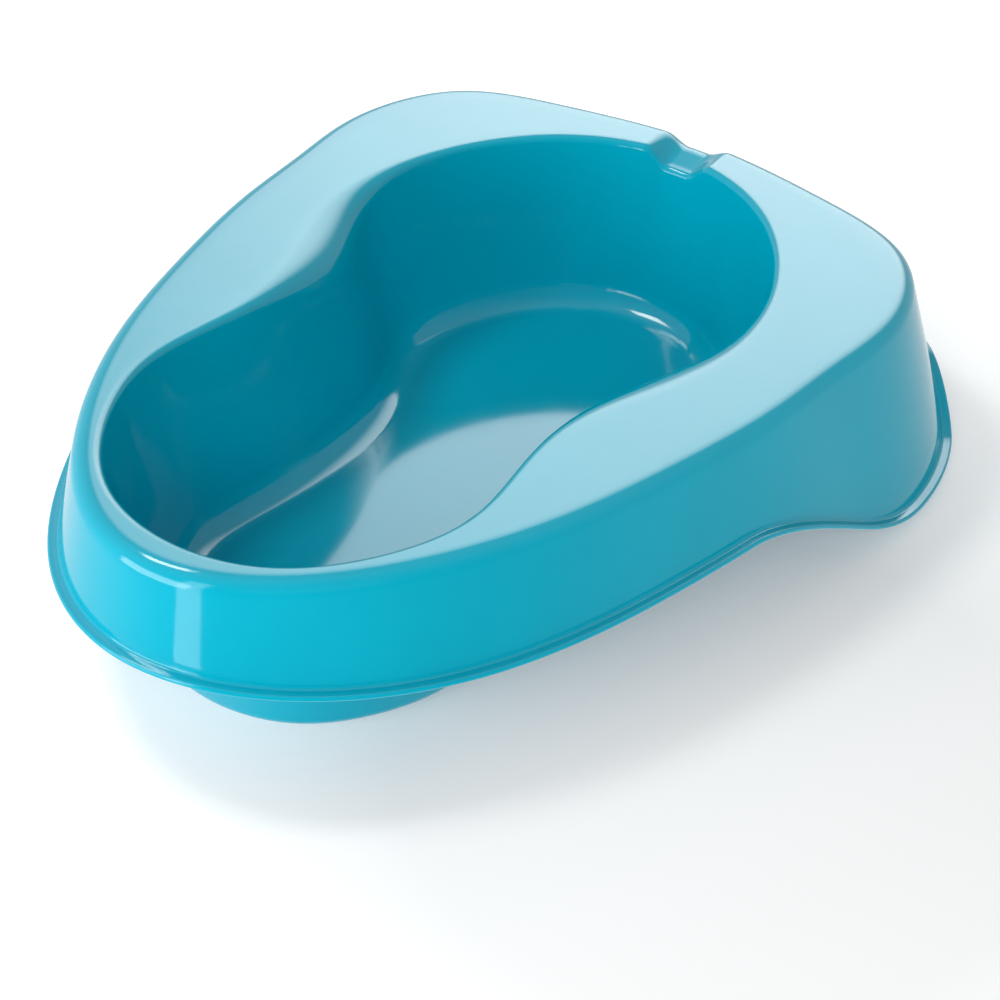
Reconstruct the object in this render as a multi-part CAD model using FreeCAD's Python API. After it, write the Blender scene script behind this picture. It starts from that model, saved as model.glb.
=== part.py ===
import FreeCAD, Part
import math
import os

# Bedpan support: one injection moulding, millimetres, +Z up.
# Origin: on the ground, on the plane of symmetry, under the waist of the bowl.
# The nose points to -Y, the wide rear to +Y. Each node is one region of the moulding.

WALL = 2.5                      # moulding thickness
DECK_HEIGHT = 85.3              # seat deck above the ground at the origin
DECK_SLOPE = -0.021             # deck falls gently from the nose to the rear
SKIRT_DRAFT = math.radians(16.0)
BOWL_DRAFT = math.radians(10.0)
SHOULDER_RADIUS = 8.0           # deck to outer skirt
LIP_RADIUS = 3.5                # deck to bowl wall
WAIST_LIP_EXTRA = 17.0          # the lip is rounder where the waist swells inwards
WAIST_CENTRE_Y = -8.0
WAIST_SPREAD = 40.0
COVE_RADIUS = 14.0              # bowl wall to floor, inside
FOOT_RADIUS = 5.0               # bowl wall to ground, outside
FOOT_SWELL = 7.0                # extra material round the foot

FLANGE_THICK = 2.5
FLANGE_REACH = 3.5              # lip beyond the skirt
FLANGE_ROOT = 1.5               # fillet above the lip
FLANGE_EDGE = 1.1               # rounded outer edge of the lip
FLANGE_FRONT_Z = 43.2           # underside of the lip along the front half
FLANGE_REAR_Z = 4.5             # underside of the lip at the rear corners
FLANGE_NOSE_RISE = 13.0
NOSE_RISE_START_Y = -125.0
NOSE_RISE_RUN = 105.0
FLANGE_DROP_START_Y = -28.0
FLANGE_DROP_END_Y = 70.0
REAR_ARCH_RISE = 22.0           # lower edge rises again between the rear corners
REAR_ARCH_START_Y = 103.0
REAR_ARCH_RUN = 26.0

CHANNEL_DEPTH = 8.0             # finger channel across the rear of the deck, at the bowl
CHANNEL_OUTER_DEPTH = 4.5       # the channel floor falls towards the bowl
CHANNEL_FLOOR_HALF = 5.0
CHANNEL_TOP_HALF = 17.5
CHANNEL_SPAN = 20.0             # half width of the channel region
CHANNEL_STEPS = 10
SQUARE_ON_SPAN = 46.0           # sections turn square to X between the two spans

# Control points of the half outlines, nose to rear (uniform cubic curves, mirrored in X).
DECK_OUTLINE = [(0, -216), (59, -187), (104, -120), (122, -61), (136, -6), (138, 37),
                (146, 80), (123, 134), (70, 146), (0, 160)]
OPENING_OUTLINE = [(0, -196), (46, -183), (75, -143), (82, -111), (71, -70), (71, -12),
                   (95, 21), (96, 64), (60, 120), (0, 143)]
STEPS_PER_SPAN = 5

Vec = FreeCAD.Vector


def closed_controls(half):
    mirrored = [(-x, y) for x, y in reversed(half[1:-1])]
    return half + mirrored


def curve_point(half, u):
    """Point and outward direction of a closed uniform cubic curve, u in spans from the nose."""
    points = closed_controls(half)
    span = int(math.floor(u))
    t = u - span
    weights = ((1 - t) ** 3, 3 * t ** 3 - 6 * t ** 2 + 4, -3 * t ** 3 + 3 * t ** 2 + 3 * t + 1, t ** 3)
    slopes = (-3 * (1 - t) ** 2, 9 * t ** 2 - 12 * t, -9 * t ** 2 + 6 * t + 3, 3 * t ** 2)
    x = y = dx = dy = 0.0
    for k in range(4):
        px, py = points[(span - 1 + k) % len(points)]
        x += weights[k] * px / 6.0
        y += weights[k] * py / 6.0
        dx += slopes[k] * px
        dy += slopes[k] * py
    length = math.hypot(dx, dy)
    return x, y, dy / length, -dx / length


def smooth(t):
    t = min(max(t, 0.0), 1.0)
    return t * t * (3.0 - 2.0 * t)


def spans(half):
    return len(half) - 1


def span_at_x(half, x):
    """Curve parameter where the rear stretch of the outline crosses the given X."""
    low = spans(half) - 2.0
    high = float(spans(half))
    for _ in range(60):
        mid = (low + high) / 2.0
        if curve_point(half, mid)[0] > x:
            low = mid
        else:
            high = mid
    return (low + high) / 2.0


def station(half, u):
    """(x, y, nx, ny): sections near the rear centre turn square to X."""
    x, y, nx, ny = curve_point(half, u)
    if y > 0.0:
        turn = 1.0 - smooth((abs(x) - CHANNEL_SPAN) / (SQUARE_ON_SPAN - CHANNEL_SPAN))
        nx *= 1.0 - turn
        ny = ny * (1.0 - turn) + turn
        length = math.hypot(nx, ny)
        nx /= length
        ny /= length
    return x, y, nx, ny


def main_stations(half):
    """Evenly stepped stations from the nose to just short of the rear channel."""
    end = span_at_x(half, CHANNEL_SPAN)
    count = int(round(end * STEPS_PER_SPAN))
    return [station(half, end * k / count) for k in range(count)]


def channel_stations(half):
    """Stations from the right side of the rear channel to its left side."""
    found = []
    for k in range(-CHANNEL_STEPS, CHANNEL_STEPS + 1):
        x = -CHANNEL_SPAN * k / float(CHANNEL_STEPS)
        y = station(half, span_at_x(half, abs(x)))[1]
        found.append((x, y, 0.0, 1.0))
    return found


def mirrored(stations):
    return [(-x, y, -nx, ny) for x, y, nx, ny in reversed(stations)]


def open_stations(half):
    """From the left side of the channel, round the nose, to its right side."""
    right = main_stations(half) + channel_stations(half)[:1]
    return mirrored(right) + right[1:]


def loop_stations(half):
    """Once round the outline, starting at the nose."""
    right = main_stations(half)
    return right + channel_stations(half) + mirrored(right[1:])


def deck_z(y):
    return DECK_HEIGHT + DECK_SLOPE * y


def channel_drop(x, y, depth):
    if y < 0.0:
        return 0.0
    return depth * (1.0 - smooth((abs(x) - CHANNEL_FLOOR_HALF) / (CHANNEL_TOP_HALF - CHANNEL_FLOOR_HALF)))


def flange_z(y):
    drop = smooth((y - FLANGE_DROP_START_Y) / (FLANGE_DROP_END_Y - FLANGE_DROP_START_Y))
    nose = max(0.0, (NOSE_RISE_START_Y - y) / NOSE_RISE_RUN)
    arch = smooth((y - REAR_ARCH_START_Y) / REAR_ARCH_RUN)
    level = FLANGE_FRONT_Z + (FLANGE_REAR_Z - FLANGE_FRONT_Z) * drop
    return level + FLANGE_NOSE_RISE * nose ** 2 + REAR_ARCH_RISE * arch


def lip_radius(y):
    return LIP_RADIUS + WAIST_LIP_EXTRA * math.exp(-((y - WAIST_CENTRE_Y) / WAIST_SPREAD) ** 2)


def at(s, out, z):
    """Point a distance `out` along the section direction, at height z."""
    return Vec(s[0] + s[2] * out, s[1] + s[3] * out, z)


def below_deck(s, out, depth):
    """Point a distance below the deck plane."""
    y = s[1] + s[3] * out
    return Vec(s[0] + s[2] * out, y, deck_z(y) - depth)


def rolled_edge(s, side, radius, draft):
    """Rounded edge between the deck and a drafted wall; side +1 is the skirt, -1 the bowl.

    Returns the top face (wall end, middle, deck end) and the hidden face beneath it."""
    set_back = radius * (1.0 - math.sin(draft)) / math.cos(draft)
    drop = channel_drop(s[0], s[1], CHANNEL_OUTER_DEPTH if side > 0 else CHANNEL_DEPTH)
    faces = []
    for r in (radius, radius - WALL):
        points = []
        for angle in (draft, (draft + math.pi / 2.0) / 2.0, math.pi / 2.0):
            out = side * (r * math.cos(angle) - set_back)
            points.append(below_deck(s, out, drop + radius - r * math.sin(angle)))
        faces.append(points)
    return faces


def lip_edge(s):
    return rolled_edge(s, -1, lip_radius(s[1]), BOWL_DRAFT)


def shoulder_edge(s):
    return rolled_edge(s, 1, SHOULDER_RADIUS, SKIRT_DRAFT)


def wire(*edges):
    """Closed wire from (start, end) lines and (start, middle, end) arcs."""
    made = []
    for points in edges:
        if len(points) == 2:
            made.append(Part.LineSegment(*points).toShape())
        else:
            made.append(Part.Arc(*points).toShape())
    return Part.Wire(made)


def ring(wires):
    return Part.makeLoft(wires, True, False, True)


def lip_section(s):
    top, under = lip_edge(s)
    return wire(top, (top[2], under[2]), under[::-1], (under[0], top[0]))


def shoulder_section(s):
    top, under = shoulder_edge(s)
    return wire(top, (top[2], under[2]), under[::-1], (under[0], top[0]))


def channel_section(inner, outer):
    lip, lip_under = lip_edge(inner)
    shoulder, shoulder_under = shoulder_edge(outer)
    return wire(lip, (lip[2], shoulder[2]), shoulder[::-1], (shoulder[0], shoulder_under[0]),
                shoulder_under, (shoulder_under[2], lip_under[2]), lip_under[::-1], (lip_under[0], lip[0]))


def bowl_line(s, z):
    """Distance along the section of the bowl side of the wall at height z."""
    return -(deck_z(s[1]) - z) * math.tan(BOWL_DRAFT)


def cove_points(s):
    """Inner cove from wall to floor, and the outside of the wall at the same height."""
    top = WALL + COVE_RADIUS * (1.0 - math.sin(BOWL_DRAFT))
    corner = bowl_line(s, WALL)
    toe = corner - COVE_RADIUS * math.tan((math.pi / 2.0 - BOWL_DRAFT) / 2.0)
    centre_z = WALL + COVE_RADIUS
    angle = (BOWL_DRAFT - math.pi / 2.0) / 2.0 - BOWL_DRAFT
    middle = at(s, toe + COVE_RADIUS * math.cos(angle), centre_z + COVE_RADIUS * math.sin(angle))
    return at(s, bowl_line(s, top), top), middle, at(s, toe, WALL), toe


def wall_back(s, point_z, out):
    """Point on the hidden side of the bowl wall, square to the wall from the visible side."""
    return at(s, out + WALL * math.cos(BOWL_DRAFT), point_z - WALL * math.sin(BOWL_DRAFT))


def foot_section(s):
    top, middle, toe_point, toe = cove_points(s)
    back = wall_back(s, top.z, bowl_line(s, top.z))
    ground_edge = bowl_line(s, 0.0) + WALL + FOOT_SWELL
    heel = at(s, ground_edge - FOOT_RADIUS, 0.0)
    side = at(s, ground_edge, FOOT_RADIUS)
    quarter = FOOT_RADIUS * (1.0 - math.sqrt(0.5))
    bend = at(s, ground_edge - quarter, quarter)
    return wire((top, middle, toe_point), (toe_point, at(s, toe, 0.0)), (at(s, toe, 0.0), heel),
                (heel, bend, side), (side, back), (back, top))


def wall_section(s):
    top = cove_points(s)[0]
    back = wall_back(s, top.z, bowl_line(s, top.z))
    lip, lip_under = lip_edge(s)
    return wire((top, lip[0]), (lip[0], lip_under[0]), (lip_under[0], back), (back, top))


def skirt_foot(s):
    """Outer and hidden points where the skirt meets the flange, and the flange underside height."""
    z = flange_z(s[1])
    top = z + FLANGE_THICK + FLANGE_ROOT
    out = (deck_z(s[1]) - top) * math.tan(SKIRT_DRAFT)
    hidden = out - WALL / math.cos(SKIRT_DRAFT)
    return at(s, out, top), at(s, hidden, top), z, out, hidden


def skirt_section(s):
    face, hidden, _, _, _ = skirt_foot(s)
    shoulder, shoulder_under = shoulder_edge(s)
    return wire((shoulder[0], face), (face, hidden), (hidden, shoulder_under[0]),
                (shoulder_under[0], shoulder[0]))


def flange_section(s):
    face, hidden, z, out, hidden_out = skirt_foot(s)
    flare = (FLANGE_THICK + FLANGE_ROOT) * math.tan(SKIRT_DRAFT)
    lip_top = z + FLANGE_THICK
    root = at(s, out + FLANGE_ROOT, lip_top)
    bend = FLANGE_ROOT * (1.0 - math.sqrt(0.5))
    root_middle = at(s, out + bend, lip_top + bend)
    edge = out + flare + FLANGE_REACH
    edge_top = at(s, edge - FLANGE_EDGE, lip_top)
    edge_middle = at(s, edge, z + FLANGE_THICK / 2.0)
    edge_low = at(s, edge - FLANGE_EDGE, z)
    inner_low = at(s, hidden_out + flare, z)
    return wire((face, root_middle, root), (root, edge_top), (edge_top, edge_middle, edge_low),
                (edge_low, inner_low), (inner_low, hidden), (hidden, face))


def channel_block():
    """Block over the rear channel, used to open the rings there."""
    height = DECK_HEIGHT + CHANNEL_DEPTH
    depth = DECK_OUTLINE[-1][1]
    return Part.makeBox(2.0 * CHANNEL_SPAN, depth, height, Vec(-CHANNEL_SPAN, 0, 0))


def open_ring(wires):
    return ring(wires).cut(channel_block()).Solids[0]


def rail(points, closed=False):
    curve = Part.BSplineCurve()
    curve.interpolate(points, PeriodicFlag=closed)
    return curve.toShape()


def make_deck():
    """Flat deck between the rolled edges, open at the rear for the channel."""
    inner = rail([lip_edge(s)[0][2] for s in open_stations(OPENING_OUTLINE)])
    outer = rail([shoulder_edge(s)[0][2] for s in open_stations(DECK_OUTLINE)])
    sides = [Part.LineSegment(inner.Vertexes[k].Point, outer.Vertexes[k].Point).toShape() for k in (0, 1)]
    outline = Part.Wire(Part.__sortEdges__([inner, outer] + sides))
    return Part.Face(outline).extrude(Vec(0, 0, -WALL))


def make_floor():
    """Flat floor inside the cove, flush with the ground face of the foot."""
    toe = rail([cove_points(s)[2] for s in loop_stations(OPENING_OUTLINE)], True)
    return Part.Face(Part.Wire([toe])).extrude(Vec(0, 0, -WALL))


def make_parts():
    opening_loop = loop_stations(OPENING_OUTLINE)
    deck_loop = loop_stations(DECK_OUTLINE)
    channel_pairs = zip(channel_stations(OPENING_OUTLINE), channel_stations(DECK_OUTLINE))
    channel = [channel_section(inner, outer) for inner, outer in channel_pairs]
    return {
        "bowl_floor": make_floor(),
        "bowl_foot": ring([foot_section(s) for s in opening_loop]),
        "bowl_wall": ring([wall_section(s) for s in opening_loop]),
        "opening_lip": open_ring([lip_section(s) for s in opening_loop]),
        "seat_deck": make_deck(),
        "deck_shoulder": open_ring([shoulder_section(s) for s in deck_loop]),
        "rear_channel": Part.makeLoft(channel, True, False),
        "outer_skirt": ring([skirt_section(s) for s in deck_loop]),
        "bottom_flange": ring([flange_section(s) for s in deck_loop]),
    }


os.makedirs("parts", exist_ok=True)
for name, shape in make_parts().items():
    shape.exportStep("parts/" + name + ".step")
    box = shape.BoundBox
    print(name, shape.ShapeType, shape.isValid(), round(shape.Volume),
          [round(v, 1) for v in (box.XMin, box.XMax, box.YMin, box.YMax, box.ZMin, box.ZMax)])
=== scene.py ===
import math

import bpy
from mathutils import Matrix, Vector


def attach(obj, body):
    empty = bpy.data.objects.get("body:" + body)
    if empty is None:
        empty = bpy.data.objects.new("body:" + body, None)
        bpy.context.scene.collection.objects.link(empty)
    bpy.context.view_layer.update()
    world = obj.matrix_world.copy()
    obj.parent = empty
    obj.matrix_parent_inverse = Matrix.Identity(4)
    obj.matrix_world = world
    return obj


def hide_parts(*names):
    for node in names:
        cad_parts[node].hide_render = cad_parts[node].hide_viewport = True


MM = 0.001

# ---- the moulding, in millimetres and radians (the same driving dimensions as the CAD model) ----
WALL = 2.5
DECK_HEIGHT = 85.3
DECK_SLOPE = -0.021
SKIRT_DRAFT = math.radians(16.0)
BOWL_DRAFT = math.radians(10.0)
SHOULDER_RADIUS = 8.0
LIP_RADIUS = 3.5
WAIST_LIP_EXTRA = 17.0
WAIST_CENTRE_Y = -8.0
WAIST_SPREAD = 40.0
COVE_RADIUS = 14.0
FOOT_RADIUS = 5.0
FOOT_SWELL = 7.0                # the hidden face of the bowl wall runs straight down to this swell

FLANGE_THICK = 2.5
FLANGE_REACH = 3.5
FLANGE_ROOT = 1.5
FLANGE_EDGE = 1.1
FLANGE_FRONT_Z = 43.2
FLANGE_REAR_Z = 4.5
FLANGE_NOSE_RISE = 13.0
NOSE_RISE_START_Y = -125.0
NOSE_RISE_RUN = 105.0
FLANGE_DROP_START_Y = -28.0
FLANGE_DROP_END_Y = 70.0
REAR_ARCH_RISE = 22.0
REAR_ARCH_START_Y = 103.0
REAR_ARCH_RUN = 26.0

CHANNEL_DEPTH = 8.0
CHANNEL_OUTER_DEPTH = 4.5
CHANNEL_FLOOR_HALF = 5.0
CHANNEL_TOP_HALF = 17.5
CHANNEL_SPAN = 20.0
SQUARE_ON_SPAN = 46.0

DECK_OUTLINE = [(0, -216), (59, -187), (104, -120), (122, -61), (136, -6), (138, 37),
                (146, 80), (123, 134), (70, 146), (0, 160)]
OPENING_OUTLINE = [(0, -196), (46, -183), (75, -143), (82, -111), (71, -70), (71, -12),
                   (95, 21), (96, 64), (60, 120), (0, 143)]

# ---- mesh fineness ----
MAIN_STATIONS = 200             # from the nose to the rear channel, on one side
CHANNEL_STATIONS = 32           # across the rear channel
ARC_STEPS = 10
DECK_STEPS = 6
WALL_STEPS = 8
CAP_STEPS = 8
BISECTIONS = 60

# ---- camera: from above the front right ----
CAMERA_YAW = math.radians(37.70)
CAMERA_RISE = math.radians(40.52)
CAMERA_ROLL = math.radians(-1.08)
CAMERA_TARGET = Vector((9.81, -11.97, -13.75)) * MM
CAMERA_DISTANCE = 881.8 * MM
CAMERA_LENS = 73.37
SENSOR_WIDTH = 36.0

# ---- plastic ----
PLASTIC_DEEP = (0.0, 0.345, 0.475, 1.0)
PLASTIC_LIGHT = (0.0, 0.365, 0.50, 1.0)
PLASTIC_ROUGHNESS = 0.09
ROUGHNESS_SPREAD = 0.03
PLASTIC_SPECULAR = 0.36
PLASTIC_IOR = 1.49
PIGMENT_RAMP = (0.3, 0.7)
PIGMENT_SIZE = 45.0             # feature sizes and depths in millimetres
GLOSS_SIZE = 14.0
WAVE_SIZE = 30.0
WAVE_DEPTH = 0.15
WAVE_STRENGTH = 0.25
GRAIN_SIZE = 0.6
GRAIN_DEPTH = 0.01
GRAIN_STRENGTH = 0.12

# ---- studio: angles in degrees, azimuth from the camera and positive to its right; lengths in metres ----
ROOM_LIGHT = 0.4
ROOM_BACKDROP = 1.0
REFLECTION_FRONT = 0.1
REFLECTION_REAR = 0.95
REFLECTION_RAMP = (-0.95, 0.15)  # cosine of the angle from straight behind the object
PANEL_AZIMUTH = 164.0           # bright patch of the room that only reflections see
PANEL_RISE = 36.0
PANEL_HALF_ANGLE = 33.0
PANEL_RADIANCE = 6.6
TOP_BOX = {"azimuth": -110.0, "rise": 62.0, "width": 0.3, "height": 0.3, "radiance": 15.0}
LEFT_BOX = {"azimuth": -59.0, "rise": 14.0, "width": 1.05, "height": 0.6, "radiance": 4.9}
FRONT_BOX = {"azimuth": 0.0, "rise": 34.0, "width": 1.0, "height": 0.6, "radiance": 3.2}
BOX_DISTANCE = 1.5
STRIP_WIDTH = 0.04              # upright strip close to the nose, seen only in reflections
STRIP_HEIGHT = 0.24
STRIP_RADIANCE = 2.8
STRIP_PLACE = Vector((0.016, -0.35, 0.12))
FLOOR_HALF = 6.0
FLOOR_ALBEDO = 0.86
FLOOR_ROUGHNESS = 0.9
# Painted light on the floor: emission strength near the middle of the object's shadow, then far from it
NEAR_FLOOR_PAINTED_LIGHT = 0.12
FAR_FLOOR_PAINTED_LIGHT = 0.64
FLOOR_PAINTED_LIGHT_RAMP = (0.12, 0.42)   # distance from the middle of the shadow, over which the painted floor light grows
SHADOW_MIDDLE = (0.17, -0.09, 0.0)


def curve_point(half, u):
    """Point and outward direction of a closed uniform cubic curve, u in spans from the nose."""
    points = half + [(-x, y) for x, y in reversed(half[1:-1])]
    span = int(math.floor(u))
    t = u - span
    weights = ((1 - t) ** 3, 3 * t ** 3 - 6 * t ** 2 + 4, -3 * t ** 3 + 3 * t ** 2 + 3 * t + 1, t ** 3)
    slopes = (-3 * (1 - t) ** 2, 9 * t ** 2 - 12 * t, -9 * t ** 2 + 6 * t + 3, 3 * t ** 2)
    x = y = dx = dy = 0.0
    for k in range(4):
        px, py = points[(span - 1 + k) % len(points)]
        x += weights[k] * px / 6.0
        y += weights[k] * py / 6.0
        dx += slopes[k] * px
        dy += slopes[k] * py
    length = math.hypot(dx, dy)
    return x, y, dy / length, -dx / length


def smooth(t):
    t = min(max(t, 0.0), 1.0)
    return t * t * (3.0 - 2.0 * t)


def span_at_x(half, x):
    """Curve parameter where the rear stretch of the outline crosses the given X."""
    low = len(half) - 3.0
    high = len(half) - 1.0
    for _ in range(BISECTIONS):
        mid = (low + high) / 2.0
        if curve_point(half, mid)[0] > x:
            low = mid
        else:
            high = mid
    return (low + high) / 2.0


def station(half, u):
    """(x, y, nx, ny): sections near the rear centre turn square to X."""
    x, y, nx, ny = curve_point(half, u)
    if y > 0.0:
        turn = 1.0 - smooth((abs(x) - CHANNEL_SPAN) / (SQUARE_ON_SPAN - CHANNEL_SPAN))
        nx *= 1.0 - turn
        ny = ny * (1.0 - turn) + turn
        length = math.hypot(nx, ny)
        nx /= length
        ny /= length
    return x, y, nx, ny


def loop_stations(half):
    """Once round the outline, starting at the nose."""
    end = span_at_x(half, CHANNEL_SPAN)
    right = [station(half, end * k / MAIN_STATIONS) for k in range(MAIN_STATIONS)]
    channel = []
    for k in range(-CHANNEL_STATIONS, CHANNEL_STATIONS + 1):
        x = -CHANNEL_SPAN * k / CHANNEL_STATIONS
        channel.append((x, station(half, span_at_x(half, abs(x)))[1], 0.0, 1.0))
    left = [(-x, y, -nx, ny) for x, y, nx, ny in reversed(right[1:])]
    return right + channel + left


def deck_z(y):
    return DECK_HEIGHT + DECK_SLOPE * y


def channel_drop(x, y, depth):
    if y < 0.0:
        return 0.0
    return depth * (1.0 - smooth((abs(x) - CHANNEL_FLOOR_HALF) / (CHANNEL_TOP_HALF - CHANNEL_FLOOR_HALF)))


def flange_z(y):
    drop = smooth((y - FLANGE_DROP_START_Y) / (FLANGE_DROP_END_Y - FLANGE_DROP_START_Y))
    nose = max(0.0, (NOSE_RISE_START_Y - y) / NOSE_RISE_RUN)
    arch = smooth((y - REAR_ARCH_START_Y) / REAR_ARCH_RUN)
    level = FLANGE_FRONT_Z + (FLANGE_REAR_Z - FLANGE_FRONT_Z) * drop
    return level + FLANGE_NOSE_RISE * nose ** 2 + REAR_ARCH_RISE * arch


def lip_radius(y):
    return LIP_RADIUS + WAIST_LIP_EXTRA * math.exp(-((y - WAIST_CENTRE_Y) / WAIST_SPREAD) ** 2)


def at(s, out, z):
    """Point a distance `out` along the section direction, at height z."""
    return Vector((s[0] + s[2] * out, s[1] + s[3] * out, z))


def below_deck(s, out, depth):
    """Point a distance below the deck plane."""
    y = s[1] + s[3] * out
    return Vector((s[0] + s[2] * out, y, deck_z(y) - depth))


def rolled_edge(s, side, radius, draft):
    """Rounded edge from a drafted wall up to the deck: the top face, then the hidden face."""
    set_back = radius * (1.0 - math.sin(draft)) / math.cos(draft)
    drop = channel_drop(s[0], s[1], CHANNEL_OUTER_DEPTH if side > 0 else CHANNEL_DEPTH)
    faces = []
    for r in (radius, radius - WALL):
        points = []
        for k in range(ARC_STEPS + 1):
            angle = draft + (math.pi / 2.0 - draft) * k / ARC_STEPS
            out = side * (r * math.cos(angle) - set_back)
            points.append(below_deck(s, out, drop + radius - r * math.sin(angle)))
        faces.append(points)
    return faces


def arc(s, centre_out, centre_z, radius, start, end):
    """Arc in the section plane; angles from the outward direction, anticlockwise."""
    points = []
    for k in range(ARC_STEPS + 1):
        angle = start + (end - start) * k / ARC_STEPS
        points.append(at(s, centre_out + radius * math.cos(angle), centre_z + radius * math.sin(angle)))
    return points


def between(a, b, steps):
    """The points strictly between a and b."""
    return [a.lerp(b, k / steps) for k in range(1, steps)]


def bowl_line(s, z):
    """Distance along the section of the bowl side of the wall at height z."""
    return -(deck_z(s[1]) - z) * math.tan(BOWL_DRAFT)


def cove(s):
    """Inner cove, from the floor up to the wall."""
    corner = bowl_line(s, WALL)
    toe = corner - COVE_RADIUS * math.tan((math.pi / 2.0 - BOWL_DRAFT) / 2.0)
    return arc(s, toe, WALL + COVE_RADIUS, COVE_RADIUS, -math.pi / 2.0, -BOWL_DRAFT)


def heel(s):
    """Outer foot, from the wall down to the ground."""
    edge = bowl_line(s, 0.0) + WALL + FOOT_SWELL
    return arc(s, edge - FOOT_RADIUS, FOOT_RADIUS, FOOT_RADIUS, 0.0, -math.pi / 2.0)


def flange(s):
    """Out-turned lip, from the visible skirt round its edge to the hidden side of the skirt."""
    z = flange_z(s[1])
    top = z + FLANGE_THICK + FLANGE_ROOT
    out = (deck_z(s[1]) - top) * math.tan(SKIRT_DRAFT)
    hidden = out - WALL / math.cos(SKIRT_DRAFT)
    flare = (FLANGE_THICK + FLANGE_ROOT) * math.tan(SKIRT_DRAFT)
    edge = out + flare + FLANGE_REACH
    root = arc(s, out + FLANGE_ROOT, top, FLANGE_ROOT, math.pi, 1.5 * math.pi)
    half = FLANGE_THICK / 2.0
    rim = []
    for k in range(ARC_STEPS + 1):
        angle = math.pi / 2.0 - math.pi * k / ARC_STEPS
        reach = edge - FLANGE_EDGE + FLANGE_EDGE * math.cos(angle)
        rim.append(at(s, reach, z + half + half * math.sin(angle)))
    return root + rim + [at(s, hidden + flare, z), at(s, hidden, top)]


def section(inner, outer):
    """Whole closed section, from the bowl floor over the deck to the ground face."""
    lip, lip_under = rolled_edge(inner, -1, lip_radius(inner[1]), BOWL_DRAFT)
    shoulder, shoulder_under = rolled_edge(outer, 1, SHOULDER_RADIUS, SKIRT_DRAFT)
    bowl = cove(inner)
    edge = flange(outer)
    foot = heel(inner)
    deck = between(lip[-1], shoulder[-1], DECK_STEPS)
    under = between(shoulder_under[-1], lip_under[-1], DECK_STEPS)
    visible = bowl + between(bowl[-1], lip[0], WALL_STEPS) + lip + deck + shoulder[::-1]
    visible += between(shoulder[0], edge[0], WALL_STEPS) + edge
    hidden = between(edge[-1], shoulder_under[0], WALL_STEPS) + shoulder_under + under
    hidden += lip_under[::-1] + between(lip_under[0], foot[0], WALL_STEPS) + foot
    return visible + hidden


def cap(ring, height):
    """Rings that shrink from a ring to its middle, then the middle point."""
    middle = Vector((0.0, sum(p.y for p in ring) / len(ring), height))
    rings = []
    for k in range(1, CAP_STEPS):
        rings.append([p.lerp(middle, k / CAP_STEPS) for p in ring])
    return rings, middle


def moulding_mesh():
    inner = loop_stations(OPENING_OUTLINE)
    outer = loop_stations(DECK_OUTLINE)
    columns = [section(a, b) for a, b in zip(inner, outer)]
    count = len(columns)
    rows = [list(row) for row in zip(*columns)]
    floor_rings, floor_middle = cap(rows[0], WALL)
    base_rings, base_middle = cap(rows[-1], 0.0)
    rows = floor_rings[::-1] + rows + base_rings
    points = [p * MM for row in rows for p in row] + [floor_middle * MM, base_middle * MM]
    floor_index = len(points) - 2
    base_index = len(points) - 1
    faces = []
    for k in range(count):
        after = (k + 1) % count
        faces.append((floor_index, k, after))
        last = (len(rows) - 1) * count
        faces.append((base_index, last + after, last + k))
        for r in range(len(rows) - 1):
            low = r * count
            faces.append((low + k, low + count + k, low + count + after, low + after))
    mesh = bpy.data.meshes.new("moulding")
    mesh.from_pydata(points, [], faces)
    mesh.validate()
    return mesh


def build_moulding(material):
    mesh = moulding_mesh()
    mesh.shade_smooth()
    piece = bpy.data.objects.new("moulding", mesh)
    bpy.context.collection.objects.link(piece)
    mesh.materials.append(material)
    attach(piece, "root")
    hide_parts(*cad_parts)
    return piece


def noise(tree, millimetres, detail):
    """Noise whose features are about the given size."""
    made = tree.nodes.new("ShaderNodeTexNoise")
    made.inputs["Scale"].default_value = 1.0 / (millimetres * MM)
    made.inputs["Detail"].default_value = detail
    place = tree.nodes.new("ShaderNodeTexCoord")
    tree.links.new(place.outputs["Object"], made.inputs["Vector"])
    return made.outputs["Fac"]


def remap(tree, value, low, high, ramp=(0.0, 1.0), interpolation="LINEAR"):
    """Value from low to high as the given value goes through the ramp."""
    made = tree.nodes.new("ShaderNodeMapRange")
    made.interpolation_type = interpolation
    made.inputs["From Min"].default_value = ramp[0]
    made.inputs["From Max"].default_value = ramp[1]
    made.inputs["To Min"].default_value = low
    made.inputs["To Max"].default_value = high
    tree.links.new(value, made.inputs["Value"])
    return made.outputs["Result"]


def bump(tree, height, depth_mm, strength, below=None):
    made = tree.nodes.new("ShaderNodeBump")
    made.inputs["Strength"].default_value = strength
    made.inputs["Distance"].default_value = depth_mm * MM
    tree.links.new(height, made.inputs["Height"])
    if below is not None:
        tree.links.new(below, made.inputs["Normal"])
    return made.outputs["Normal"]


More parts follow.
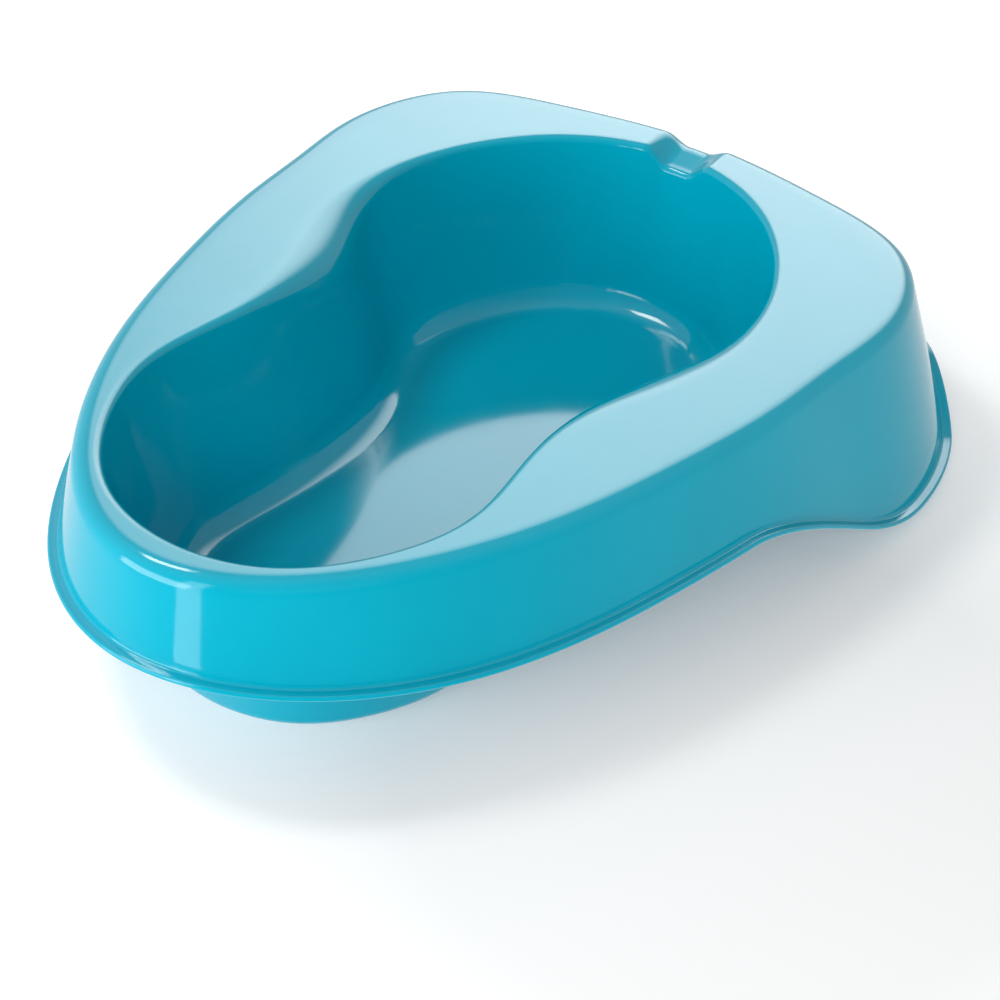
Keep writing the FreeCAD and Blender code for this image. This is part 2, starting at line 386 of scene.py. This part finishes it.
def plastic_material():
    """Turquoise polypropylene: glossy, with faint pigment flow, mould waviness and a very fine grain."""
    material = bpy.data.materials.new("turquoise_plastic")
    material.use_nodes = True
    tree = material.node_tree
    shader = tree.nodes["Principled BSDF"]
    shader.inputs["IOR"].default_value = PLASTIC_IOR
    shader.inputs["Specular IOR Level"].default_value = PLASTIC_SPECULAR
    pigment = tree.nodes.new("ShaderNodeValToRGB")
    for element, position, colour in zip(
            pigment.color_ramp.elements, PIGMENT_RAMP, (PLASTIC_DEEP, PLASTIC_LIGHT)):
        element.position = position
        element.color = colour
    tree.links.new(noise(tree, PIGMENT_SIZE, 3.0), pigment.inputs["Fac"])
    tree.links.new(pigment.outputs["Color"], shader.inputs["Base Color"])
    low = PLASTIC_ROUGHNESS - ROUGHNESS_SPREAD
    high = PLASTIC_ROUGHNESS + ROUGHNESS_SPREAD
    gloss = remap(tree, noise(tree, GLOSS_SIZE, 5.0), low, high)
    tree.links.new(gloss, shader.inputs["Roughness"])
    wavy = bump(tree, noise(tree, WAVE_SIZE, 1.0), WAVE_DEPTH, WAVE_STRENGTH)
    grain = bump(tree, noise(tree, GRAIN_SIZE, 2.0), GRAIN_DEPTH, GRAIN_STRENGTH, wavy)
    tree.links.new(grain, shader.inputs["Normal"])
    return material


def floor_material():
    """Matt pale floor with painted light: it glows faintly in the middle of the object's shadow and more
    strongly away from it.
    """
    material = bpy.data.materials.new("pale_floor")
    material.use_nodes = True
    tree = material.node_tree
    shader = tree.nodes["Principled BSDF"]
    shader.inputs["Base Color"].default_value = (FLOOR_ALBEDO, FLOOR_ALBEDO, FLOOR_ALBEDO, 1.0)
    shader.inputs["Roughness"].default_value = FLOOR_ROUGHNESS
    shader.inputs["Specular IOR Level"].default_value = 0.0
    shader.inputs["Emission Color"].default_value = (1.0, 1.0, 1.0, 1.0)
    place = tree.nodes.new("ShaderNodeTexCoord")
    distance = tree.nodes.new("ShaderNodeVectorMath")
    distance.operation = "DISTANCE"
    distance.inputs[1].default_value = SHADOW_MIDDLE
    tree.links.new(place.outputs["Object"], distance.inputs[0])
    # painted light: the floor's emission grows with distance from the middle of the shadow
    glow = remap(tree, distance.outputs["Value"], NEAR_FLOOR_PAINTED_LIGHT, FAR_FLOOR_PAINTED_LIGHT, FLOOR_PAINTED_LIGHT_RAMP)
    tree.links.new(glow, shader.inputs["Emission Strength"])
    return material


def build_floor():
    mesh = bpy.data.meshes.new("floor")
    corners = [(x * FLOOR_HALF, y * FLOOR_HALF, 0.0) for x, y in ((-1, -1), (1, -1), (1, 1), (-1, 1))]
    mesh.from_pydata(corners, [], [(0, 1, 2, 3)])
    floor = bpy.data.objects.new("floor", mesh)
    bpy.context.collection.objects.link(floor)
    mesh.materials.append(floor_material())
    floor.visible_glossy = False


def direction(azimuth, rise):
    """Unit direction from the object: azimuth 0 is towards -Y (the nose), anticlockwise from above."""
    return Vector((math.sin(azimuth) * math.cos(rise), -math.cos(azimuth) * math.cos(rise), math.sin(rise)))


def area_light(name, width, height, radiance):
    """Rectangular light that the camera doesn't see."""
    light = bpy.data.lights.new(name, "AREA")
    light.shape = "RECTANGLE"
    light.size = width
    light.size_y = height
    light.energy = radiance * 4.0 * width * height
    lamp = bpy.data.objects.new(name, light)
    bpy.context.collection.objects.link(lamp)
    lamp.visible_camera = False
    return lamp


def softbox(name, azimuth, rise, width, height, radiance):
    """Light that faces the object from the given direction."""
    lamp = area_light(name, width, height, radiance)
    away = direction(CAMERA_YAW + math.radians(azimuth), math.radians(rise))
    lamp.location = away * BOX_DISTANCE
    lamp.rotation_euler = away.to_track_quat("Z", "Y").to_euler()
    return lamp


def toward(tree, place, aim, ramp, low, high):
    """Value that grows from low to high as a ray's direction turns towards the aim."""
    turn = tree.nodes.new("ShaderNodeVectorMath")
    turn.operation = "DOT_PRODUCT"
    turn.inputs[1].default_value = aim
    tree.links.new(place, turn.inputs[0])
    return remap(tree, turn.outputs["Value"], low, high, ramp, "SMOOTHSTEP")


def build_world():
    """Even room light, a white backdrop, and reflections that brighten towards the back of the room."""
    world = bpy.data.worlds.new("studio")
    world.use_nodes = True
    tree = world.node_tree
    background = tree.nodes["Background"]
    background.inputs["Color"].default_value = (1.0, 1.0, 1.0, 1.0)
    ray = tree.nodes.new("ShaderNodeTexCoord").outputs["Generated"]
    rear = direction(CAMERA_YAW + math.pi, 0.0)
    panel = direction(CAMERA_YAW + math.radians(PANEL_AZIMUTH), math.radians(PANEL_RISE))
    reflected = tree.nodes.new("ShaderNodeMath")
    room = toward(tree, ray, rear, REFLECTION_RAMP, REFLECTION_FRONT, REFLECTION_REAR)
    panel_ramp = (math.cos(math.radians(PANEL_HALF_ANGLE)), 1.0)
    glow = toward(tree, ray, panel, panel_ramp, 0.0, PANEL_RADIANCE)
    tree.links.new(room, reflected.inputs[0])
    tree.links.new(glow, reflected.inputs[1])
    path = tree.nodes.new("ShaderNodeLightPath")
    lit = tree.nodes.new("ShaderNodeMix")
    lit.inputs["A"].default_value = ROOM_LIGHT
    tree.links.new(reflected.outputs["Value"], lit.inputs["B"])
    seen = tree.nodes.new("ShaderNodeMix")
    seen.inputs["B"].default_value = ROOM_BACKDROP
    tree.links.new(path.outputs["Is Glossy Ray"], lit.inputs["Factor"])
    tree.links.new(lit.outputs["Result"], seen.inputs["A"])
    tree.links.new(path.outputs["Is Camera Ray"], seen.inputs["Factor"])
    tree.links.new(seen.outputs["Result"], background.inputs["Strength"])
    bpy.context.scene.world = world


def build_lights():
    softbox("top_box", **TOP_BOX)
    softbox("left_box", **LEFT_BOX)
    front = softbox("front_box", **FRONT_BOX)
    front.visible_glossy = False
    strip = area_light("left_strip", STRIP_WIDTH, STRIP_HEIGHT, STRIP_RADIANCE)
    strip.visible_diffuse = False
    strip.location = STRIP_PLACE
    strip.rotation_euler = (math.radians(90.0), 0.0, 0.0)


def build_camera():
    back = direction(CAMERA_YAW, CAMERA_RISE)
    right = Vector((math.cos(CAMERA_YAW), math.sin(CAMERA_YAW), 0.0))
    up = back.cross(right)
    rolled_right = right * math.cos(CAMERA_ROLL) + up * math.sin(CAMERA_ROLL)
    rolled_up = up * math.cos(CAMERA_ROLL) - right * math.sin(CAMERA_ROLL)
    data = bpy.data.cameras.new("camera")
    data.sensor_width = SENSOR_WIDTH
    data.lens = CAMERA_LENS
    camera = bpy.data.objects.new("camera", data)
    bpy.context.collection.objects.link(camera)
    rotation = camera.matrix_world.to_3x3()
    rotation.col[0] = rolled_right
    rotation.col[1] = rolled_up
    rotation.col[2] = back
    camera.matrix_world = rotation.to_4x4()
    camera.location = CAMERA_TARGET + back * CAMERA_DISTANCE
    bpy.context.scene.camera = camera


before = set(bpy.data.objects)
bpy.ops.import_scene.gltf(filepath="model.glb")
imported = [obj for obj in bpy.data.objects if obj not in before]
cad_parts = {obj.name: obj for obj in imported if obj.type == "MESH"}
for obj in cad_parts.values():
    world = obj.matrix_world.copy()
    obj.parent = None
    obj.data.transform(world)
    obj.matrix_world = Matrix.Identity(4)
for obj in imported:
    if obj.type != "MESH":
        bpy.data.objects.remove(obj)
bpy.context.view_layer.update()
build_moulding(plastic_material())
build_floor()
build_world()
build_lights()
build_camera()
bpy.context.scene.view_settings.view_transform = "Standard"
